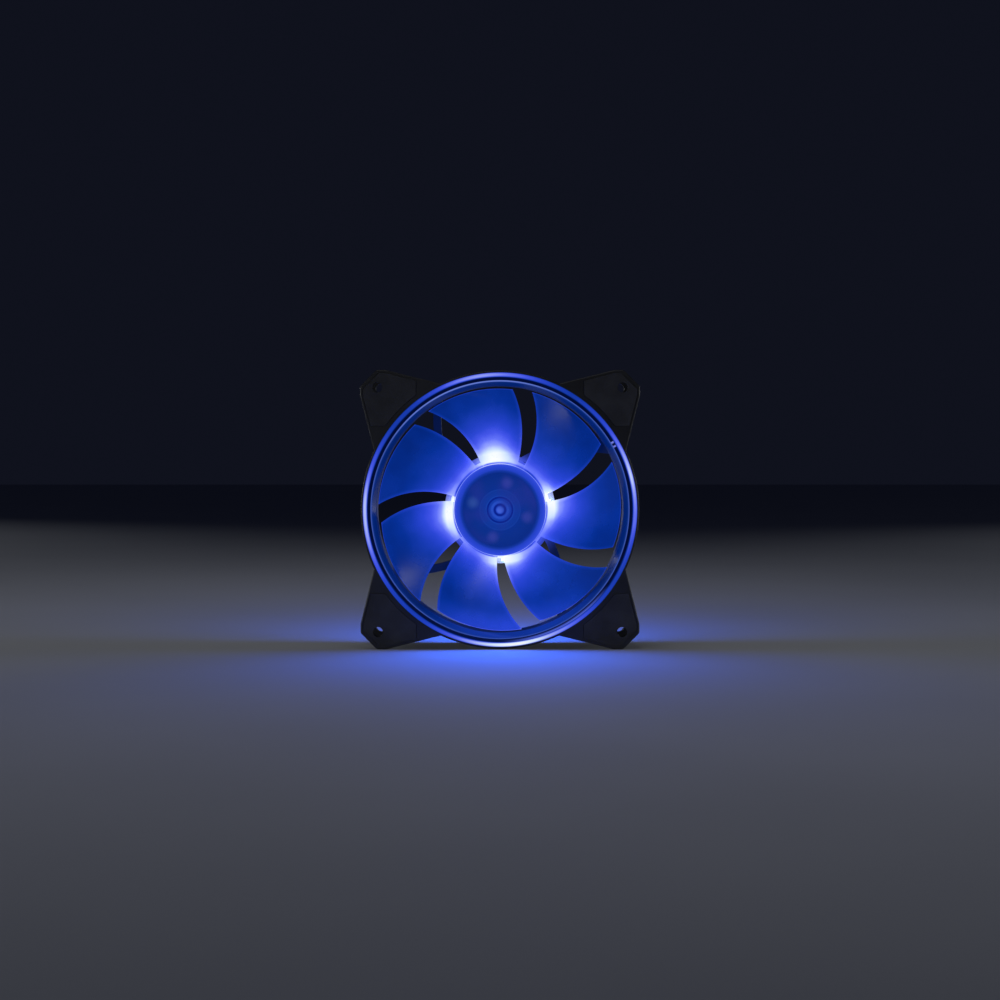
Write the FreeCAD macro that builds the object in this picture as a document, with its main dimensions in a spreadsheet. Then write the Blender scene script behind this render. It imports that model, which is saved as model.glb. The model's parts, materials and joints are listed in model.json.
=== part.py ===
import FreeCAD, Part
import math
import os
import types

import Sketcher

# A 120 mm axial case fan. +Z is up, +X is right seen from the intake side, which faces -Y.
# The origin is on the spin axis, halfway through the depth. Every length is in millimetres.
# A height written as y is a place along the spin axis: negative towards the intake.

DIMENSIONS = {
    # overall frame
    "frame_width": 120.0,
    "frame_depth": 25.0,
    "pad_proud": 0.3,
    "flange_thickness": 3.5,
    "corner_flat_start": 49.0,
    "corner_chamfer": 7.0,
    "corner_rounding": 2.0,
    "edge_break": 0.35,
    "waist_across": 25.0,
    "waist_along": 54.0,
    "hole_spacing": 105.0,
    "hole_radius": 2.15,
    # duct
    "duct_outer": 59.8,
    "duct_shoulder": 58.4,
    "duct_waist": 56.2,
    "throat_radius": 53.5,
    "outlet_radius": 55.5,
    "rim_rear_of_face": 5.2,
    "shoulder_rear_of_face": 6.7,
    "shoulder_end": -3.8,
    "waist_start": -2.0,
    "waist_end": 7.0,
    "rear_rim_start": 9.3,
    # light ring
    "fit_gap": 0.05,
    "press_gap": 0.02,
    "ring_outer": 58.95,
    "ring_bead_inner": 57.1,
    "ring_bead_height": 0.6,
    "ring_groove_depth": 1.9,
    "ring_groove_inner": 55.6,
    "ring_ridge_inner": 55.15,
    "ring_ridge_drop": 0.9,
    "ring_inlet_depth": 6.0,
    "ring_throat": 53.6,
    "ring_step_radius": 57.0,
    "ring_lip_depth": 4.5,
    "ring_depth": 8.0,
    "ring_key_angle": 30.0,
    "ring_key_width": 2.4,
    "ring_key_overlap": 0.2,
    "ring_groove_slope": 0.2,
    # rubber pads
    "pad_thickness": 1.5,
    "pad_inset": 1.2,
    "pad_end": 36.0,
    # motor base and struts
    "base_outer": 24.2,
    "base_inner": 23.0,
    "base_rim_front": 7.2,
    "base_floor": 10.3,
    "boss_outer": 5.5,
    "boss_front": 4.8,
    "label_radius": 19.8,
    "label_recess": 0.3,
    "label_thickness": 0.2,
    "post_circle": 14.0,
    "post_radius": 1.3,
    "strut_front": 8.3,
    "strut_width": 3.4,
    "wire_strut_width": 6.0,
    "strut_bend_radius": 56.9,
    "strut_centre_across": 39.6,
    "strut_centre_up": -29.3,
    "wire_channel_width": 3.4,
    "wire_channel_depth": 2.4,
    # impeller
    "blade_count": 7.0,
    "blade_root": 17.9,
    "blade_tip": 52.4,
    "blade_root_pitch": 43.0,
    "blade_tip_pitch": 21.0,
    "blade_tip_sweep": 15.0,
    "blade_root_chord": 19.0,
    "blade_tip_chord": 41.0,
    "blade_root_thickness": 2.0,
    "blade_tip_thickness": 1.3,
    "blade_root_camber": 1.0,
    "blade_tip_camber": 2.2,
    "blade_edge": 0.7,
    "blade_middle": -1.5,
    "hub_radius": 19.9,
    "hub_front": -11.5,
    "hub_rounding": 1.2,
    "hub_cap_thickness": 1.6,
    "hub_flare_start": -1.0,
    "hub_flare_radius": 21.8,
    "hub_rear": 5.6,
    "face_groove_one": 2.3,
    "face_groove_two": 5.4,
    "face_step_radius": 8.6,
    "face_groove_width": 0.8,
    "face_groove_depth": 0.35,
    # rotor cup, magnet, shaft
    "cup_outer": 17.4,
    "cup_wall": 0.8,
    "cup_plate": 0.9,
    "cup_hole_circle": 12.0,
    "cup_hole_radius": 2.2,
    "cup_hole_angle": 75.0,
    "magnet_wall": 1.7,
    "magnet_front": -7.4,
    "magnet_rear": 5.4,
    "shaft_radius": 1.5,
    "shaft_tip": 9.55,
    "clip_groove_front": 6.9,
    "clip_groove_width": 0.6,
    "clip_groove_radius": 1.1,
    "insert_radius": 2.6,
    "insert_flange_radius": 4.2,
    "insert_flange": 1.4,
    "insert_rear": -6.4,
    # bearing
    "tube_outer": 4.0,
    "tube_inner": 3.0,
    "tube_front": -4.8,
    "sleeve_front": -3.8,
    "sleeve_rear": 6.4,
    "running_gap": 0.03,
    "seal_thickness": 0.7,
    "clip_outer": 2.5,
    "clip_thickness": 0.4,
    "thrust_radius": 2.9,
    "thrust_front": 9.6,
    # stator
    "core_front": -4.5,
    "core_rear": 1.5,
    "core_outer": 14.4,
    "core_head_inner": 11.8,
    "core_hub": 6.2,
    "core_neck": 3.6,
    "core_slit": 2.6,
    "arm_thickness": 0.6,
    "arm_width": 4.4,
    "wall_height": 2.4,
    "wall_width": 11.0,
    "wall_inner": 10.9,
    "wall_thickness": 0.8,
    "collar_outer": 6.0,
    "collar_wall": 0.6,
    "leg_circle": 6.9,
    "leg_radius": 1.0,
    "pin_radius": 0.5,
    "coil_inner": 6.2,
    "coil_outer": 10.8,
    "coil_width": 9.2,
    "coil_window": 4.6,
    "coil_reach": 2.2,
    "coil_rounding": 1.6,
    # circuit board and what is on it
    "board_radius": 22.8,
    "board_bore": 5.7,
    "board_front": 8.2,
    "board_thickness": 1.2,
    "led_circle": 21.2,
    "led_angle": 6.0,
    "led_length": 3.5,
    "led_width": 2.8,
    "led_height": 1.9,
    "led_window": 1.15,
    "led_window_depth": 0.5,
    "chip_length": 5.0,
    "chip_width": 3.9,
    "chip_height": 1.5,
    "chip_circle": 15.0,
    "hall_length": 3.0,
    "hall_width": 1.7,
    "hall_height": 1.1,
    "hall_circle": 15.6,
    "lead_reach": 0.8,
    "lead_thickness": 0.25,
    "capacitor_length": 3.2,
    "capacitor_width": 1.6,
    "capacitor_height": 1.4,
    "capacitor_circle": 14.0,
    "resistor_length": 2.0,
    "resistor_width": 1.25,
    "resistor_height": 0.55,
    "resistor_circle": 15.0,
}

QUARTER_TURNS = range(4)

# Where a strut ends, in degrees about the centre of its own bend.
STRUT_HUB_END = 120.5
STRUT_DUCT_END = 79.5
WIRE_CHANNEL_END = 74.5


class Size:
    """A number together with the spreadsheet expression that gives it."""

    def __init__(self, number, text):
        self.number = number
        self.text = text

    def __add__(self, other):
        other = as_size(other)
        return Size(self.number + other.number, f"({self.text} + {other.text})")

    def __sub__(self, other):
        other = as_size(other)
        return Size(self.number - other.number, f"({self.text} - {other.text})")

    def __mul__(self, other):
        other = as_size(other)
        return Size(self.number * other.number, f"({self.text} * {other.text})")

    def __truediv__(self, other):
        other = as_size(other)
        return Size(self.number / other.number, f"({self.text} / {other.text})")

    def __neg__(self):
        return Size(-self.number, f"(-1 * {self.text})")


def as_size(value):
    return value if isinstance(value, Size) else Size(float(value), f"{float(value):.6f}")


def leg(hypotenuse, side):
    """The other short side of a right triangle."""
    square = hypotenuse * hypotenuse - side * side
    return Size(math.sqrt(square.number), f"sqrt({square.text})")


def arc_radius(chord, rise):
    """The radius of an arc from its chord and its rise."""
    half = chord / 2
    return (half * half + rise * rise) / (rise * 2)


def add_sheet(doc):
    sheet = doc.addObject("Spreadsheet::Sheet", "Dimensions")
    for row, (alias, value) in enumerate(DIMENSIONS.items(), start=1):
        sheet.set(f"A{row}", alias)
        sheet.set(f"B{row}", str(value))
        sheet.setAlias(f"B{row}", alias)
    doc.recompute()
    return sheet


def read_sizes(sheet):
    sizes = {alias: Size(float(sheet.get(alias)), f"Dimensions.{alias}") for alias in DIMENSIONS}
    return types.SimpleNamespace(**sizes)


# --- sketches and features ---------------------------------------------------------------

def new_body(label):
    body = doc.addObject("PartDesign::Body", label)
    body.Label = label
    return body


def origin_feature(body, role):
    return next(item for item in body.Origin.OriginFeatures if item.Role == role)


def new_sketch(body, role, name, lift=None):
    """A sketch on one of the body's own planes, lifted along the plane's normal."""
    sketch = body.newObject("Sketcher::SketchObject", name)
    sketch.AttachmentSupport = [(origin_feature(body, role), "")]
    sketch.MapMode = "FlatFace"
    if lift is not None:
        sketch.setExpression("AttachmentOffset.Base.z", lift.text)
    return sketch


def fix_point(sketch, geometry, end, point, name):
    """Ties a point's two coordinates to the spreadsheet."""
    for axis, size in zip(("DistanceX", "DistanceY"), point):
        size = as_size(size)
        number = sketch.addConstraint(Sketcher.Constraint(axis, -1, 1, geometry, end, size.number))
        constraint = f"{name}_{axis}"
        sketch.renameConstraint(number, constraint)
        sketch.setExpression(f"Constraints.{constraint}", size.text)


def draw_outline(sketch, points, arcs=None):
    """A closed outline through points. arcs maps an edge's number to (radius, middle point)."""
    arcs = arcs or {}
    points = [(as_size(x), as_size(y)) for x, y in points]
    places = [FreeCAD.Vector(x.number, y.number, 0) for x, y in points]
    first = sketch.GeometryCount
    count = len(points)
    for number in range(count):
        start = places[number]
        end = places[(number + 1) % count]
        if number in arcs:
            middle = arcs[number][1]
            through = FreeCAD.Vector(as_size(middle[0]).number, as_size(middle[1]).number, 0)
            sketch.addGeometry(Part.Arc(start, through, end), False)
        else:
            sketch.addGeometry(Part.LineSegment(start, end), False)
    joints = []
    for number in range(count):
        joints.append((first + number, start_end(sketch, first + number, places[number])))
    for number in range(count):
        geometry, (_, end_pos) = joints[number]
        following, (next_start, _) = joints[(number + 1) % count]
        sketch.addConstraint(Sketcher.Constraint("Coincident", geometry, end_pos, following, next_start))
    for number in range(count):
        geometry, (start_pos, _) = joints[number]
        fix_point(sketch, geometry, start_pos, points[number], f"corner_{first + number}")
    for number, (radius, _) in arcs.items():
        constraint = sketch.addConstraint(
            Sketcher.Constraint("Radius", first + number, as_size(radius).number))
        sketch.renameConstraint(constraint, f"bend_{first + number}")
        sketch.setExpression(f"Constraints.bend_{first + number}", as_size(radius).text)


def start_end(sketch, geometry, place):
    """Which ends of an edge are its start and its end: an arc always runs anticlockwise."""
    starts_here = sketch.getPoint(geometry, 1).distanceToPoint(place) < 1e-6
    return (1, 2) if starts_here else (2, 1)


def draw_circle(sketch, radius, centre=(0, 0)):
    radius = as_size(radius)
    place = FreeCAD.Vector(as_size(centre[0]).number, as_size(centre[1]).number, 0)
    index = sketch.addGeometry(Part.Circle(place, FreeCAD.Vector(0, 0, 1), radius.number), False)
    fix_point(sketch, index, 3, centre, f"centre_{index}")
    number = sketch.addConstraint(Sketcher.Constraint("Radius", index, radius.number))
    sketch.renameConstraint(number, f"round_{index}")
    sketch.setExpression(f"Constraints.round_{index}", radius.text)


def revolve(body, name, points, arcs=None, kind="PartDesign::Revolution"):
    """Turns an outline of (radius, y) points about the spin axis."""
    sketch = new_sketch(body, "XY_Plane", f"{name}_profile")
    draw_outline(sketch, points, arcs)
    feature = body.newObject(kind, name)
    feature.Profile = sketch
    feature.ReferenceAxis = (sketch, ["V_Axis"])
    feature.Angle = 360
    doc.recompute()
    return feature


def add_plate(body, name, low, high, draw):
    """Pads what draw puts in a sketch, from y = low to y = high."""
    low = as_size(low)
    high = as_size(high)
    sketch = new_sketch(body, "XZ_Plane", f"{name}_sketch", -high)
    draw(sketch)
    pad = body.newObject("PartDesign::Pad", name)
    pad.Profile = sketch
    pad.Length = (high - low).number
    pad.setExpression("Length", (high - low).text)
    doc.recompute()
    return pad


def cut_plate(body, name, low, high, draw):
    """Pockets what draw puts in a sketch, from y = low to y = high, and checks that it cut."""
    before = body.Shape.Volume
    low = as_size(low)
    high = as_size(high)
    sketch = new_sketch(body, "XZ_Plane", f"{name}_sketch", -low)
    draw(sketch)
    pocket = body.newObject("PartDesign::Pocket", name)
    pocket.Profile = sketch
    pocket.Length = (high - low).number
    pocket.setExpression("Length", (high - low).text)
    doc.recompute()
    if body.Shape.Volume > before - 0.01:
        raise RuntimeError(f"{name} cuts nothing")
    return pocket


def repeat(body, name, features, count):
    """Repeats features evenly about the spin axis."""
    pattern = body.newObject("PartDesign::PolarPattern", name)
    pattern.Originals = features
    pattern.Axis = (origin_feature(body, "Y_Axis"), [""])
    pattern.Angle = 360
    pattern.Occurrences = int(round(count))
    body.Tip = pattern
    doc.recompute()
    return pattern


def edge_names(shape, wanted):
    return [f"Edge{number}" for number, edge in enumerate(shape.Edges, start=1) if wanted(edge)]


def dress(body, kind, name, wanted, size):
    """Fillets or chamfers the edges of the body's tip that wanted picks."""
    base = body.Tip
    feature = body.newObject(f"PartDesign::{kind}", name)
    feature.Base = (base, edge_names(base.Shape, wanted))
    prop = "Radius" if kind == "Fillet" else "Size"
    setattr(feature, prop, size.number)
    feature.setExpression(prop, size.text)
    doc.recompute()
    return feature


def along_y(edge):
    """True for a straight edge that runs along the spin axis."""
    if not isinstance(edge.Curve, Part.Line):
        return False
    return abs(abs(edge.Curve.Direction.y) - 1) < 1e-6


def turn_about_axis(thing, degrees):
    """Turns a piece about the spin axis, anticlockwise seen from the intake."""
    thing.Placement = FreeCAD.Placement(FreeCAD.Vector(0, 0, 0), spin(degrees))


def spin(degrees):
    return FreeCAD.Rotation(FreeCAD.Vector(0, -1, 0), degrees)


# --- outlines ----------------------------------------------------------------------------

def quarter_turns(corner):
    """One corner's points, followed by the same points turned to the other three corners."""
    points = []
    for _ in QUARTER_TURNS:
        points.extend(corner)
        corner = [(-z, x) for x, z in corner]
    return points


def frame_outline():
    """The waisted outline with four chamfered corners."""
    edge = dim.frame_width / 2
    corner = [
        (dim.waist_along, dim.waist_across),
        (edge, dim.corner_flat_start),
        (edge, edge - dim.corner_chamfer),
        (edge - dim.corner_chamfer, edge),
        (dim.corner_flat_start, edge),
        (dim.waist_across, dim.waist_along),
    ]
    return quarter_turns(corner)


def pad_outline(inset, clearance):
    """The pad's outline in the corner between +X and +Z, and the arc beside the duct."""
    edge = dim.frame_width / 2 - inset
    slope = (dim.frame_width / 2 - dim.waist_along) / (dim.corner_flat_start - dim.waist_across)
    drop = (dim.corner_flat_start - dim.pad_end) * slope
    end = dim.pad_end + clearance
    inner = dim.duct_outer + inset + clearance
    inner_end = leg(inner, end)
    middle = inner.number * math.sqrt(0.5)
    points = [
        (inner_end, end),
        (edge - drop - clearance, end),
        (edge - clearance, dim.corner_flat_start),
        (edge - clearance, edge - dim.corner_chamfer),
        (edge - dim.corner_chamfer, edge - clearance),
        (dim.corner_flat_start, edge - clearance),
        (end, edge - drop - clearance),
        (end, inner_end),
    ]
    return points, {7: (inner, (middle, middle))}


def rectangle(low_x, high_x, low_z, high_z):
    return [(low_x, low_z), (high_x, low_z), (high_x, high_z), (low_x, high_z)]


# --- frame -------------------------------------------------------------------------------

def make_frame():
    body = new_body("frame")
    face = dim.frame_depth / 2 - dim.pad_proud
    add_plate(body, "front_flange", -face, dim.flange_thickness - face,
              lambda sketch: draw_outline(sketch, frame_outline()))
    add_plate(body, "rear_flange", face - dim.flange_thickness, face,
              lambda sketch: draw_outline(sketch, frame_outline()))
    core = dim.throat_radius - 5.0
    revolve(body, "duct_wall", [
        (core, -face),
        (dim.duct_outer, -face),
        (dim.duct_outer, dim.rim_rear_of_face - face),
        (dim.duct_shoulder, dim.shoulder_rear_of_face - face),
        (dim.duct_shoulder, dim.shoulder_end),
        (dim.duct_waist, dim.waist_start),
        (dim.duct_waist, dim.waist_end),
        (dim.duct_outer, dim.rear_rim_start),
        (dim.duct_outer, face),
        (core, face),
    ])
    dress(body, "Fillet", "corner_rounds", is_outer_corner, dim.corner_rounding)
    dress(body, "Chamfer", "outline_edges", is_flange_edge, dim.edge_break)
    cut_duct(body)
    for name, low, high in (
        ("front_pad_seat", -face, dim.pad_thickness - dim.frame_depth / 2),
        ("rear_pad_seat", dim.frame_depth / 2 - dim.pad_thickness, face),
    ):
        seat = cut_plate(body, name, low, high,
                         lambda sketch: draw_outline(sketch, *pad_outline(dim.pad_inset, as_size(0))))
        repeat(body, f"{name}s", [seat], 4)
    cut_plate(body, "screw_holes", -face, face, draw_screw_holes)
    add_struts(body, face)
    add_motor_base(body, face)
    return body


def from_axis(place):
    return math.hypot(place.x, place.z)


def is_outer_corner(edge):
    """True for the upright edges of the four corners, but not for those at the waists."""
    beyond = dim.duct_outer.number + dim.corner_chamfer.number
    return along_y(edge) and from_axis(edge.BoundBox.Center) > beyond


def is_flange_edge(edge):
    """True for the outline of the two outer faces."""
    face = dim.frame_depth.number / 2 - dim.pad_proud.number
    flat = all(abs(abs(vertex.Point.y) - face) < 1e-6 for vertex in edge.Vertexes)
    return flat and all(from_axis(vertex.Point) > dim.duct_outer.number - 1 for vertex in edge.Vertexes)


def cut_duct(body):
    """Opens the duct from the light ring's stepped seat to the flared outlet."""
    before = body.Shape.Volume
    past = dim.frame_depth / 2 + 1
    seat = dim.fit_gap - dim.frame_depth / 2
    centre = as_size(0)
    revolve(body, "duct_bore", [
        (centre, -past),
        (dim.ring_outer + dim.fit_gap, -past),
        (dim.ring_outer + dim.fit_gap, seat + dim.ring_lip_depth),
        (dim.ring_step_radius + dim.fit_gap, seat + dim.ring_lip_depth),
        (dim.ring_step_radius + dim.fit_gap, seat + dim.ring_depth),
        (dim.throat_radius, seat + dim.ring_depth),
        (dim.throat_radius, dim.waist_end),
        (dim.outlet_radius, past),
        (centre, past),
    ], kind="PartDesign::Groove")
    if body.Shape.Volume > before - 1:
        raise RuntimeError("the duct is not open")


def draw_screw_holes(sketch):
    half = dim.hole_spacing / 2
    for x, z in quarter_turns([(half, half)]):
        draw_circle(sketch, dim.hole_radius, (x, z))


def add_motor_base(body, face):
    """The cup behind the motor: floor, rim, bearing boss and the posts under the board."""
    centre = as_size(0)
    recess = face - dim.label_recess
    bore = dim.tube_outer + dim.fit_gap
    revolve(body, "strut_ends", rectangle(centre, dim.base_inner, centre, dim.frame_depth),
            kind="PartDesign::Groove")
    revolve(body, "motor_base", [
        (centre, dim.base_floor),
        (bore, dim.base_floor),
        (bore, dim.boss_front),
        (dim.boss_outer, dim.boss_front),
        (dim.boss_outer, dim.base_floor),
        (dim.base_inner, dim.base_floor),
        (dim.base_inner, dim.base_rim_front),
        (dim.base_outer, dim.base_rim_front),
        (dim.base_outer, face),
        (dim.label_radius, face),
        (dim.label_radius, recess),
        (centre, recess),
    ])
    cut_plate(body, "wire_channel", face - dim.wire_channel_depth, face + 0.5,
              lambda sketch: draw_strut(sketch, dim.wire_channel_width, WIRE_CHANNEL_END, STRUT_HUB_END))
    post = add_plate(body, "board_post", dim.board_front + dim.board_thickness, dim.base_floor + 0.5,
                     lambda sketch: draw_circle(sketch, dim.post_radius, (dim.post_circle, centre)))
    repeat(body, "board_posts", [post], 4)


def strut_point(offset, degrees):
    """A point beside the strut's bent centre line, at an angle about the bend's centre."""
    angle = math.radians(degrees)
    radius = dim.strut_bend_radius + offset
    return (dim.strut_centre_across + radius * math.cos(angle),
            dim.strut_centre_up + radius * math.sin(angle))


def draw_strut(sketch, width, first, last):
    """A bent bar between two concentric arcs, from angle first to angle last."""
    half = width / 2
    middle = (first + last) / 2
    points = [strut_point(half, first), strut_point(half, last),
              strut_point(-half, last), strut_point(-half, first)]
    arcs = {
        0: (dim.strut_bend_radius + half, strut_point(half, middle)),
        2: (dim.strut_bend_radius - half, strut_point(-half, middle)),
    }
    draw_outline(sketch, points, arcs)


def add_struts(body, face):
    """Four bent struts from the base to the duct; one is wider and holds the wire channel."""
    strut = add_plate(body, "strut", dim.strut_front, face,
                      lambda sketch: draw_strut(sketch, dim.strut_width, STRUT_DUCT_END, STRUT_HUB_END))
    repeat(body, "struts", [strut], 4)
    add_plate(body, "wire_strut", dim.strut_front, face,
              lambda sketch: draw_strut(sketch, dim.wire_strut_width, STRUT_DUCT_END, STRUT_HUB_END))


# --- light ring and pads -----------------------------------------------------------------

def make_light_ring():
    body = new_body("light_ring")
    front = -dim.frame_depth / 2
    bead = front + dim.ring_bead_height
    floor = front + dim.ring_groove_depth
    ridge = front + dim.ring_ridge_drop
    bead_width = dim.ring_outer - dim.ring_bead_inner
    bead_middle = (dim.ring_outer + dim.ring_bead_inner) / 2
    revolve(body, "ring_section", [
        (dim.ring_outer, bead),
        (dim.ring_bead_inner, bead),
        (dim.ring_bead_inner - dim.ring_groove_slope, floor),
        (dim.ring_groove_inner + dim.ring_groove_slope / 2, floor),
        (dim.ring_groove_inner, ridge),
        (dim.ring_ridge_inner, ridge),
        (dim.ring_throat, front + dim.ring_inlet_depth),
        (dim.ring_throat, front + dim.ring_depth),
        (dim.ring_step_radius, front + dim.ring_depth),
        (dim.ring_step_radius, front + dim.ring_lip_depth),
        (dim.ring_outer, front + dim.ring_lip_depth),
    ], {0: (arc_radius(bead_width, dim.ring_bead_height), (bead_middle, front))})
    half = dim.ring_key_width / 2
    overlap = dim.ring_key_overlap
    add_plate(body, "locating_key", ridge, floor + overlap,
              lambda sketch: draw_outline(sketch, rectangle(
                  dim.ring_groove_inner - overlap, dim.ring_bead_inner + overlap, -half, half)))
    turn_about_axis(body, dim.ring_key_angle.number)
    return body


def make_pad(label, low, high, turn):
    body = new_body(label)
    gap = dim.fit_gap
    add_plate(body, f"{label}_plate", low, high,
              lambda sketch: draw_outline(sketch, *pad_outline(dim.pad_inset, gap)))
    half = dim.hole_spacing / 2
    cut_plate(body, f"{label}_hole", low, high,
              lambda sketch: draw_circle(sketch, dim.hole_radius, (half, half)))
    turn_about_axis(body, 90 * turn)
    return body


def make_pads():
    depth = dim.frame_depth / 2
    made = []
    for turn in QUARTER_TURNS:
        made.append(make_pad(f"front_pad_{turn + 1}", -depth, dim.pad_thickness - depth, turn))
        made.append(make_pad(f"rear_pad_{turn + 1}", depth - dim.pad_thickness, depth, turn))
    return made


# --- rotor -------------------------------------------------------------------------------

def make_hub():
    body = new_body("hub_cap")
    front = dim.hub_front
    half = dim.face_groove_width / 2
    groove = front + dim.face_groove_depth
    step = front + dim.face_groove_depth * 0.4
    centre = as_size(0)
    bore = dim.cup_outer + dim.fit_gap
    rounding = dim.hub_rounding
    rise = 1 - math.sqrt(0.5)
    revolve(body, "hub", [
        (centre, front),
        (dim.face_groove_one - half, front),
        (dim.face_groove_one - half, groove),
        (dim.face_groove_one + half, groove),
        (dim.face_groove_one + half, front),
        (dim.face_groove_two - half, front),
        (dim.face_groove_two - half, groove),
        (dim.face_groove_two + half, groove),
        (dim.face_groove_two + half, front),
        (dim.face_step_radius, front),
        (dim.face_step_radius, step),
        (dim.hub_radius - rounding, step),
        (dim.hub_radius, step + rounding),
        (dim.hub_radius, dim.hub_flare_start),
        (dim.hub_flare_radius, dim.hub_rear - 0.8),
        (dim.hub_flare_radius, dim.hub_rear),
        (bore, dim.hub_rear),
        (bore, front + dim.hub_cap_thickness),
        (centre, front + dim.hub_cap_thickness),
    ], {11: (rounding, (dim.hub_radius - rounding * rise, step + rounding * rise))})
    return body


def between(root, tip, share, ease=1.0):
    """A value part of the way from the blade's root to its tip."""
    return root.number + (tip.number - root.number) * share ** ease


def blade_point(share, chordwise, side):
    """A point on the blade: share runs from root to tip, chordwise from -1 at the leading edge
    to 1 at the trailing edge, and side is 1 on the intake side and -1 on the outlet side."""
    radius = between(dim.blade_root, dim.blade_tip, share)
    pitch = math.radians(between(dim.blade_root_pitch, dim.blade_tip_pitch, share, 0.8))
    sweep = math.radians(between(as_size(0), dim.blade_tip_sweep, share, 1.6))
    chord = between(dim.blade_root_chord, dim.blade_tip_chord, share, 1.1)
    camber = between(dim.blade_root_camber, dim.blade_tip_camber, share, 0.5)
    thickness = between(dim.blade_root_thickness, dim.blade_tip_thickness, share)
    edge = dim.blade_edge.number
    crown = 1 - chordwise ** 2
    rise = camber * crown + side * (edge + (thickness - edge) * crown) / 2
    along = chord / 2 * chordwise
    around = along * math.cos(pitch) + rise * math.sin(pitch)
    depth = dim.blade_middle.number + along * math.sin(pitch) - rise * math.cos(pitch)
    angle = around / radius - sweep
    return FreeCAD.Vector(radius * math.sin(angle), depth, radius * math.cos(angle))


def blade_shape():
    """One blade: two cambered faces, wrapped round the axis, joined by four narrow ones."""
    stations = 9
    shares = [step / (stations - 1) for step in range(stations)]
    sides = []
    for side in (1, -1):
        surface = Part.BSplineSurface()
        surface.interpolate([[blade_point(share, 2 * across - 1, side) for across in shares]
                             for share in shares])
        sides.append(surface)
    faces = [surface.toShape() for surface in sides]
    for place in (0, 1):
        faces.append(Part.makeRuledSurface(*[surface.uIso(place).toShape() for surface in sides]))
        faces.append(Part.makeRuledSurface(*[surface.vIso(place).toShape() for surface in sides]))
    shell = Part.Shell(faces)
    shell.sewShape()
    solid = Part.Solid(shell)
    if solid.Volume < 0:
        solid.reverse()
    return solid


def make_impeller():
    """The hub cap with its blades, one moulding."""
    pieces = [make_hub()]
    count = int(dim.blade_count.number)
    for number in range(count):
        blade = doc.addObject("Part::Feature", f"blade_{number + 1}")
        blade.Shape = blade_shape()
        turn_about_axis(blade, 360 / count * number)
        pieces.append(blade)
    impeller = doc.addObject("Part::MultiFuse", "impeller")
    impeller.Label = "impeller"
    impeller.Shapes = pieces
    impeller.Refine = False
    return impeller


def inside_cap():
    """Where the parts pressed into the hub cap start, just behind its plate."""
    return dim.hub_front + dim.hub_cap_thickness + dim.press_gap


def make_rotor_cup():
    body = new_body("rotor_cup")
    front = inside_cap()
    inner = dim.cup_outer - dim.cup_wall
    bore = dim.insert_radius + dim.fit_gap
    revolve(body, "cup", [
        (bore, front),
        (dim.cup_outer - dim.cup_plate, front),
        (dim.cup_outer, front + dim.cup_plate),
        (dim.cup_outer, dim.hub_rear),
        (inner, dim.hub_rear),
        (inner, front + dim.cup_plate),
        (bore, front + dim.cup_plate),
    ])
    angle = math.radians(dim.cup_hole_angle.number)
    place = (dim.cup_hole_circle * math.cos(angle), dim.cup_hole_circle * math.sin(angle))
    hole = cut_plate(body, "cup_hole", front - 0.5, front + dim.cup_plate + 0.2,
                     lambda sketch: draw_circle(sketch, dim.cup_hole_radius, place))
    repeat(body, "cup_holes", [hole], 4)
    return body


def make_tube(label, inner, outer, low, high):
    """A plain ring about the spin axis."""
    body = new_body(label)
    revolve(body, f"{label}_ring", rectangle(inner, outer, low, high))
    return body


def make_shaft_insert():
    body = new_body("shaft_insert")
    front = inside_cap()
    plate = front + dim.cup_plate + dim.press_gap
    revolve(body, "insert", [
        (dim.shaft_radius, front),
        (dim.insert_radius, front),
        (dim.insert_radius, plate),
        (dim.insert_flange_radius, plate),
        (dim.insert_flange_radius, plate + dim.insert_flange),
        (dim.insert_radius + 0.4, dim.insert_rear),
        (dim.shaft_radius, dim.insert_rear),
    ])
    return body


def make_shaft():
    body = new_body("shaft")
    front = inside_cap()
    groove_end = dim.clip_groove_front + dim.clip_groove_width
    centre = as_size(0)
    shoulder = dim.shaft_tip - 0.8
    revolve(body, "rod", [
        (centre, front),
        (dim.shaft_radius, front),
        (dim.shaft_radius, dim.clip_groove_front),
        (dim.clip_groove_radius, dim.clip_groove_front),
        (dim.clip_groove_radius, groove_end),
        (dim.shaft_radius, groove_end),
        (dim.shaft_radius, shoulder),
        (dim.shaft_radius * 0.6, dim.shaft_tip - 0.1),
        (centre, dim.shaft_tip),
    ])
    return body


# --- bearing and stator ------------------------------------------------------------------

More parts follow.
